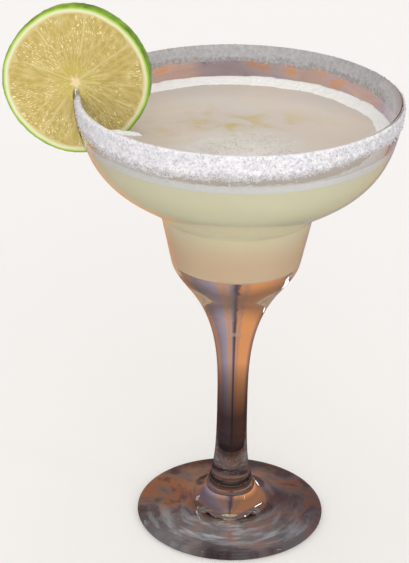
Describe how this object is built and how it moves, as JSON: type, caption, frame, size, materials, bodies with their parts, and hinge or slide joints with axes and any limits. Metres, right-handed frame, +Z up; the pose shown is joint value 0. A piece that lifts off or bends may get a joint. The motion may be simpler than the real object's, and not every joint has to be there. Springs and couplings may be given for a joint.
{
  "type": "margarita cocktail",
  "caption": "Margarita in a stepped stem glass with a salt-crusted rim, a cloudy pale lime drink with a froth collar, and a lime wheel slit and pushed onto the rim.",
  "frame": {"origin": "centre of the ring under the foot, on the table", "axes": "+Z up along the stem, -Y to the front, -X to the side of the rim that carries the lime wheel"},
  "size_m": [0.1438, 0.1184, 0.2048],
  "materials": {
    "glass": "clear polished pressed glass",
    "drink": "cloudy pale lime drink with a still, wet surface",
    "froth": "fine white froth",
    "salt": "crust of coarse, slightly damp salt crystals",
    "lime": "moist cut lime flesh with pale pith and green rind"
  },
  "bodies": {
    "root": {"glass": "glass", "drink": "drink", "foam": "froth", "salt_rim": "salt", "lime_wheel": "lime"}
  },
  "joints": []
}
